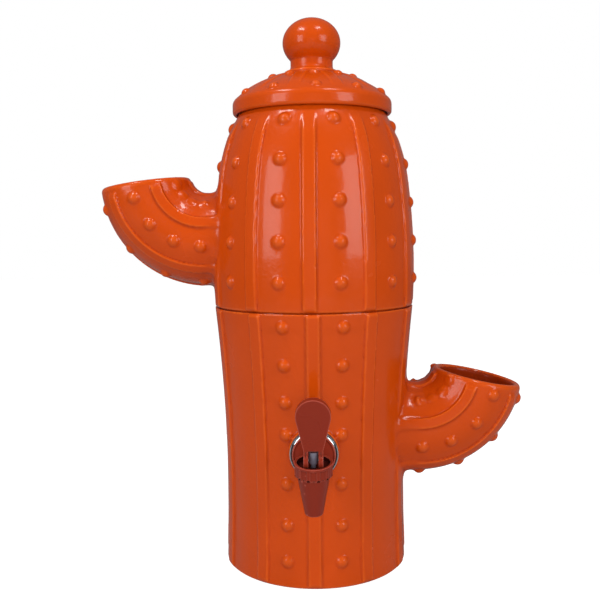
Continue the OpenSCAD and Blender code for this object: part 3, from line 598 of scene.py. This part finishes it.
def buildLowerPot(s):
    pot = copyOf("lowerPotGlazed", "lower_pot", "lower_arm")
    shapeArm(pot, s, 1)
    joined(pot, *armRibRoots(s, 1))
    # the openings are plugged first, so that the skin is softened outside alone
    mouthPlug = cylinder("plug", s["seamRadius"] - skin["plugInset"], s["seamHeight"] - s["plugDepth"],
                         s["top"])
    tapPlug = cylinder("plug", s["holeRadius"] + s["holePlug"], s["innerPadFace"] - 2 * past,
                       s["padFace"], (0, s["tapHeight"]), along="Y")
    joined(pot, mouthPlug, tapPlug)
    melt(pot, skin["voxel"], skin["rounds"], skin["most"])
    softenRoot(pot, 1, s["armHeight"], s["armRadius"], s["rootRadius"], skin)
    hollow = turned("hollow", lowerHollow(s))
    pad = cylinder("pad", s["innerPadRadius"], s["innerPadFace"], s["padFace"],
                   (0, s["tapHeight"]), along="Y")
    combine(hollow, pad)
    combine(pot, hollow)
    hole = cylinder("hole", s["holeRadius"], s["innerPadFace"] - 2 * past, s["padFace"] + 2 * past,
                    (0, s["tapHeight"]), along="Y")
    combine(pot, hole)
    # outside its seat the rim lies lower, which shows as the dark line of the seam
    low, inner, outer = s["top"] - s["seamGap"], s["seatRadius"], s["seamRadius"] + 2 * past
    gap = [(inner, low), (outer, low), (outer, low + past), (inner, low + past)]
    combine(pot, turned("gap", gap, closed=True))
    shade(pot)
    return pot


lowerPiece = buildLowerPot(lowerPot)
place(lowerPiece, "lower_vessel", "glazed_clay", glazedClay, "lower_pot", "lower_arm")
paintShadeInArm(lowerPiece, lowerPot, 1)
print("lower pot ready")


# upper pot with its arm

upperPot = {
    "seamHeight": 205.7, "bellyRadius": 79.3, "bellyHeight": 234, "bellyCurve": 520,
    "shoulderHeight": 306.7, "shoulderCurve": 135, "mouthHeight": 359, "wall": 7,
    "floorHeight": 214.7, "ringRadius": 70.8, "ringWall": 5, "ringDepth": 8, "stemHole": 6,
    "mouthRound": 2, "collar": 8, "ribFade": 16, "ribs": 11, "ribSpan": 6, "turn": -1.5,
    "armHeight": 258.1, "armRadius": 35.5, "bendX": 84, "rimTurn": 82.5, "armTurn": -8, "rootRadius": 79.3,
    "plugDepth": 40, "ringPlugInset": 2, "ringPlugRise": 6, "wallStep": 7, "wallSteps": 21,
}


def upperRadius(s, height, inset=0):
    centre = s["bellyRadius"] - s["bellyCurve"]
    if height < s["shoulderHeight"]:
        return centre + math.sqrt((s["bellyCurve"] - inset) ** 2 - (height - s["bellyHeight"]) ** 2)
    turn = math.asin((s["shoulderHeight"] - s["bellyHeight"]) / s["bellyCurve"])
    across = centre + (s["bellyCurve"] - s["shoulderCurve"]) * math.cos(turn)
    along = s["shoulderHeight"] - s["shoulderCurve"] * math.sin(turn)
    return across + math.sqrt((s["shoulderCurve"] - inset) ** 2 - (height - along) ** 2)


def upperHollow(s):
    low, high = s["floorHeight"], s["mouthHeight"]
    heights = [low + 2 + i * s["wallStep"] for i in range(s["wallSteps"])]
    wallAt = [(upperRadius(s, h, s["wall"]), h) for h in heights if h < high - s["mouthRound"] - 1]
    outline = footRounding(wallAt[0][0], low) + wallAt
    outline += mouthRounding(upperRadius(s, high, s["wall"]), high, s["mouthRound"])
    return outline + [(outline[-1][0], high + past), (0, high + past)]


def fadeRibs(piece, s):
    # the ribs sink into the wall under the collar instead of ending square
    top = s["mouthHeight"] - s["collar"]
    pitch = 360 / s["ribs"]
    for vertex in piece.data.vertices:
        x, y, z = vertex.co / mm
        if not top - s["ribFade"] < z < top + 1:
            continue
        across = math.hypot(x, y)
        wallRadius = upperRadius(s, z)
        over = across - wallRadius
        turn = math.degrees(math.atan2(y, x)) + 90 - s["turn"]
        offRib = abs((turn + pitch / 2) % pitch - pitch / 2)
        if over < touch or offRib > s["ribSpan"]:
            continue
        new = (wallRadius + over * eased((top - z) / s["ribFade"])) / across
        vertex.co = Vector((x * new, y * new, z)) * mm


def buildUpperPot(s):
    pot = copyOf("upperPotGlazed", "upper_pot", "upper_arm")
    shapeArm(pot, s, -1)
    fadeRibs(pot, s)
    joined(pot, *armRibRoots(s, -1))
    seam = s["seamHeight"]
    mouthPlug = cylinder("plug", upperRadius(s, s["mouthHeight"]) - skin["plugInset"],
                         s["mouthHeight"] - s["plugDepth"], s["mouthHeight"])
    ringPlug = cylinder("plug", s["ringRadius"] - s["ringPlugInset"], seam - s["ringDepth"],
                        seam + s["ringPlugRise"])
    joined(pot, mouthPlug, ringPlug)
    melt(pot, skin["voxel"], skin["rounds"], skin["most"])
    softenRoot(pot, -1, s["armHeight"], s["armRadius"], s["rootRadius"], skin)
    combine(pot, turned("hollow", upperHollow(s)))
    combine(pot, cylinder("hole", s["ringRadius"] - s["ringWall"], seam - s["ringDepth"] - past, seam))
    combine(pot, cylinder("hole", s["stemHole"], seam - 4 * past, s["floorHeight"] + past, sides=48))
    shade(pot)
    return pot


upperPiece = buildUpperPot(upperPot)
place(upperPiece, "upper_vessel", "glazed_clay", glazedClay, "upper_pot", "upper_arm")
paintShadeInArm(upperPiece, upperPot, -1)
print("upper pot ready")


# lid with its knob

lid = {
    "voxel": 0.7, "rounds": 3, "most": 170000, "neckRing": 20.4, "ringThick": 1.3, "ringHeight": 387.2,
    "domeCentre": 294.4, "domeRadius": 94, "ribs": 11, "turn": 20, "ribHalf": 5.6, "ribKeep": 0.45,
    "ribMost": 2.2, "ribFrom": 24, "ribTo": 60, "ribReach": 4, "ribEase": 8,
}


def softenLidRibs(piece, s):
    # the lid's ribs are low and sink into the dome at both ends
    pitch = 2 * math.pi / s["ribs"]
    for vertex in piece.data.vertices:
        x, y, z = vertex.co / mm
        across, up = math.hypot(x, y), z - s["domeCentre"]
        reach = math.hypot(across, up)
        over = reach - s["domeRadius"]
        if not touch <= over <= s["ribMost"] or across < s["ribFrom"] - s["ribReach"]:
            continue
        turn = math.atan2(y, x) + math.radians(90 - s["turn"])
        offRib = (turn + pitch / 2) % pitch - pitch / 2
        if abs(across * math.sin(offRib)) > s["ribHalf"]:
            continue
        ends = min(1, max(0, min(across - s["ribFrom"], s["ribTo"] - across) / s["ribEase"]))
        new = (s["domeRadius"] + over * s["ribKeep"] * ends) / reach
        vertex.co = Vector((x * new, y * new, s["domeCentre"] + up * new)) * mm


def buildLid(s):
    top = copyOf("lidGlazed", "lid", "lid_knob")
    softenLidRibs(top, s)
    bpy.ops.object.select_all(action="DESELECT")
    bpy.ops.mesh.primitive_torus_add(
        major_segments=96, minor_segments=16, major_radius=s["neckRing"] * mm,
        minor_radius=s["ringThick"] * mm, location=(0, 0, s["ringHeight"] * mm))
    ring = bpy.context.object
    bpy.ops.object.transform_apply(location=True, rotation=True, scale=True)
    joined(top, ring)
    melt(top, s["voxel"], s["rounds"], s["most"])
    shade(top)
    return top


place(buildLid(lid), "lid", "glazed_clay", glazedClay, "lid", "lid_knob")
print("lid ready")


# tap, without its lever

tap = {
    "axisDistance": 106, "rimHeight": 106.8, "lean": 9,
    "ringDistance": 73.5, "ringHeight": 103.7,
    "bodyVoxel": 0.45, "bodyRounds": 3, "bonnetVoxel": 0.25, "bonnetRounds": 1,
    "grips": 12, "notchRadius": 1.1, "notchReach": 13.3, "notchDown": 8.9, "notchSlack": 0.03,
    "cupRadius": 11.6, "cupSlack": 0.15, "cupFrom": -0.35, "headFrom": 2.4, "headGrow": 1.19,
}


def atTap(piece):
    # from the tap's own frame, with its bonnet's rim at zero, to the tap's place
    piece.rotation_euler = (math.radians(tap["lean"]), 0, 0)
    piece.location = (0, -tap["axisDistance"] * mm, tap["rimHeight"] * mm)
    only(piece)
    bpy.ops.object.transform_apply(location=True, rotation=True, scale=True)


def acrossWall(piece):
    # from a part turned round Z to the same part round the tap's hole, facing the front
    piece.rotation_euler = (math.radians(90), 0, 0)
    piece.location = (0, -tap["ringDistance"] * mm, tap["ringHeight"] * mm)
    only(piece)
    bpy.ops.object.transform_apply(location=True, rotation=True, scale=True)


chromeRing = [(8.1, 1.6), (16.4, 1.6), (16.8, 1.2), (16.8, 0), (17.8, 0), (17.8, 2.6), (17.7, 3.1),
              (17.45, 3.4), (17.1, 3.5), (16.8, 3.35), (16.5, 2.6), (15.9, 2.4), (15.5, 2.6), (15.3, 3.5),
              (8.1, 3.5)]
ringPiece = turned("chromeRing", chromeRing, 144, closed=True)
acrossWall(ringPiece)
shade(ringPiece, 30)
place(ringPiece, "lower_vessel", "chrome_ring", chrome, "tap_escutcheon")

collarLip = [(14.5, 5.2), (15.2, 5.2), (15.75, 5.8), (15.7, 6.7), (15.35, 7.0), (14.95, 6.9), (14.6, 6.3)]
bodyPiece = copyOf("tapBodyMoulded", "tap_body")
lipPiece = turned("lip", collarLip, 144, closed=True)
acrossWall(lipPiece)
joined(bodyPiece, lipPiece)
melt(bodyPiece, tap["bodyVoxel"], tap["bodyRounds"])
shade(bodyPiece)
place(bodyPiece, "lower_vessel", "tap_plastic", tapPlastic, "tap_body")


def toTapFrame(piece):
    # how a point of a piece in place lies in the tap's own frame, in mm
    back = Matrix.Rotation(-math.radians(tap["lean"]), 4, "X") @ Matrix.Translation(
        (0, tap["axisDistance"] * mm, -tap["rimHeight"] * mm))
    return [back @ vertex.co / mm for vertex in piece.data.vertices]


def notchSpots(s):
    # one notch between each two grips, at the bonnet's lower edge
    reach, turns = s["notchReach"], [2 * math.pi * (k + 0.5) / s["grips"] for k in range(s["grips"])]
    return [Vector((reach * math.cos(a), reach * math.sin(a), -s["notchDown"])) for a in turns]


def buildBonnet(s):
    piece = copyOf("tapBonnetMoulded", "tap_bonnet")
    melt(piece, s["bonnetVoxel"], s["bonnetRounds"])
    for spot in notchSpots(s):
        bpy.ops.object.select_all(action="DESELECT")
        bpy.ops.mesh.primitive_uv_sphere_add(
            segments=24, ring_count=12, radius=s["notchRadius"] * mm, location=spot * mm)
        notch = bpy.context.object
        bpy.ops.object.transform_apply(location=True, rotation=True, scale=True)
        atTap(notch)
        combine(piece, notch)
    shade(piece)
    return piece


def darkenCup(piece, s):
    # the inside of the cup and the notches lie deep in shadow
    piece.data.materials.append(tapShadow)
    spots, notches, reach = toTapFrame(piece), notchSpots(s), s["notchRadius"] + s["notchSlack"]
    for face in piece.data.polygons:
        middle = sum((spots[v] for v in face.vertices), Vector()) / len(face.vertices)
        inCup = math.hypot(middle.x, middle.y) < s["cupRadius"] + s["cupSlack"] and middle.z < s["cupFrom"]
        if inCup or any((middle - spot).length < reach for spot in notches):
            face.material_index = 1


bonnetPiece = buildBonnet(tap)
place(bonnetPiece, "lower_vessel", "tap_plastic", tapPlastic, "tap_bonnet")
darkenCup(bonnetPiece, tap)

stemPiece = copyOf("valveStemTurned", "valve_stem")
for vertex, spot in zip(stemPiece.data.vertices, toTapFrame(stemPiece)):
    if math.hypot(spot.x, spot.y) > tap["headFrom"] and spot.z > 0:
        vertex.co.x *= tap["headGrow"]
shade(stemPiece)
place(stemPiece, "valve", "grey_plastic", plasticPaintedSheen, "valve_stem")
print("tap body ready")


# lever with its paddle and fork

lever = {
    "width": 24.2, "top": 45.8, "bridge": 9.3, "forkWidth": 13.4, "forkGap": 7.2, "thick": 6, "front": -3.5,
    "frontRound": 2.6, "backRound": 1.4, "pinHeight": 1.5, "pinRadius": 1.1, "foot": 2.8, "cam": 4.8,
    "forkOverlap": 1.6, "grooveHalf": 0.25, "grooveReach": 2, "grooveDepth": 0.5, "grooveEnd": 0.6,
    "arcSteps": 48, "sideSteps": 6, "voxel": 0.3, "rounds": 1,
}


def paddleOutline(s):
    # straight sides that run into a round end, from the fork's right side over the top to its left
    radius = s["width"] / 2
    middle = s["top"] - radius
    foot = s["forkWidth"] / 2
    reach = math.hypot(foot, s["bridge"] - middle)
    meet = math.atan2(s["bridge"] - middle, foot) + math.acos(radius / reach)
    arcSteps, sideSteps = s["arcSteps"], s["sideSteps"]
    turns = [meet + (math.pi - 2 * meet) * i / arcSteps for i in range(arcSteps + 1)]
    points = [(radius * math.cos(a), middle + radius * math.sin(a)) for a in turns]
    right, up = points[0][0] - foot, points[0][1] - s["bridge"]
    side = [(foot + right * i / sideSteps, s["bridge"] + up * i / sideSteps) for i in range(sideSteps)]
    return side + points + [(-x, z) for x, z in reversed(side)]


def buildPaddle(s):
    outline = paddleOutline(s)
    bpy.ops.object.select_all(action="DESELECT")
    bpy.ops.mesh.primitive_circle_add(vertices=len(outline), radius=1 * mm, fill_type="NGON")
    paddle = bpy.context.object
    paddle.name = "tapLeverMoulded"
    bpy.ops.object.mode_set(mode="EDIT")
    drawing = bmesh.from_edit_mesh(paddle.data)
    for vertex, (x, z) in zip(drawing.verts, outline):
        vertex.co = Vector((x, s["front"] + s["thick"], z)) * mm
    bmesh.update_edit_mesh(paddle.data)
    bpy.ops.mesh.select_all(action="SELECT")
    bpy.ops.mesh.extrude_region_move(TRANSFORM_OT_translate={"value": (0, -s["thick"] * mm, 0)})
    bpy.ops.mesh.select_all(action="SELECT")
    bpy.ops.mesh.normals_make_consistent(inside=False)
    back = s["front"] + s["thick"]
    for depth, size, steps in ((s["front"], s["frontRound"], 7), (back, s["backRound"], 4)):
        bpy.ops.mesh.select_all(action="DESELECT")
        drawing = bmesh.from_edit_mesh(paddle.data)
        for edge in drawing.edges:
            onFace = all(abs(v.co.y / mm - depth) < touch for v in edge.verts)
            edge.select = onFace and any(v.co.z / mm > s["bridge"] + touch for v in edge.verts)
        drawing.select_flush(True)
        bpy.ops.mesh.bevel(offset=size * mm, segments=steps, profile=0.5, affect="EDGES",
                           clamp_overlap=True)
    bpy.ops.object.mode_set(mode="OBJECT")
    return paddle


def crossBar(name, radius, half, y, z):
    bpy.ops.object.select_all(action="DESELECT")
    bpy.ops.mesh.primitive_cylinder_add(
        vertices=64, radius=radius * mm, depth=2 * half * mm, location=(0, y * mm, z * mm),
        rotation=(0, math.radians(90), 0))
    piece = bpy.context.object
    piece.name = name
    bpy.ops.object.transform_apply(location=True, rotation=True, scale=True)
    return piece


def buildLever(s):
    piece = buildPaddle(s)
    half, far = s["forkWidth"] / 2, 4 * past
    fork = box("fork", (-half, s["front"], s["pinHeight"]),
               (half, s["front"] + s["thick"], s["bridge"] + s["forkOverlap"]))
    foot = crossBar("foot", s["cam"], half, -s["foot"], s["pinHeight"])
    joined(piece, fork, foot)
    melt(piece, s["voxel"], s["rounds"])
    gap = s["forkGap"] / 2
    combine(piece, box("slot", (-gap, -far, s["pinHeight"] - 2 * past), (gap, far, s["bridge"])))
    combine(piece, crossBar("pin", s["pinRadius"], half + 1, 0, s["pinHeight"]))
    for side in (-1, 1):
        across = side * (gap + half) / 2
        groove = box("groove", (across - s["grooveHalf"], s["front"] - s["grooveReach"], -far),
                     (across + s["grooveHalf"], s["front"] + s["grooveDepth"], s["bridge"] - s["grooveEnd"]))
        combine(piece, groove)
    atTap(piece)
    shade(piece)
    return piece


place(buildLever(lever), "lever", "tap_plastic", tapPlastic, "tap_lever")
print("lever ready")


# the CAD nodes keep their meshes and get the finished materials

finishes = {
    "glazed_clay": glazedClay, "tap_plastic": tapPlastic, "chrome_ring": chrome, "rubber": rubber,
    "white_plastic": whitePlastic, "steel": steel, "grey_plastic": plasticPaintedSheen,
    "candle_ceramic": candleCeramic, "carbon": carbonBlock, "float_plastic": floatPlastic,
}
for part in frame["record"]["subparts"]:
    mesh = nodes[part["node"]].data
    if not mesh.materials:
        mesh.materials.append(None)
    for i in range(len(mesh.materials)):
        mesh.materials[i] = finishes[part["material_slot"]]
print("CAD nodes finished")
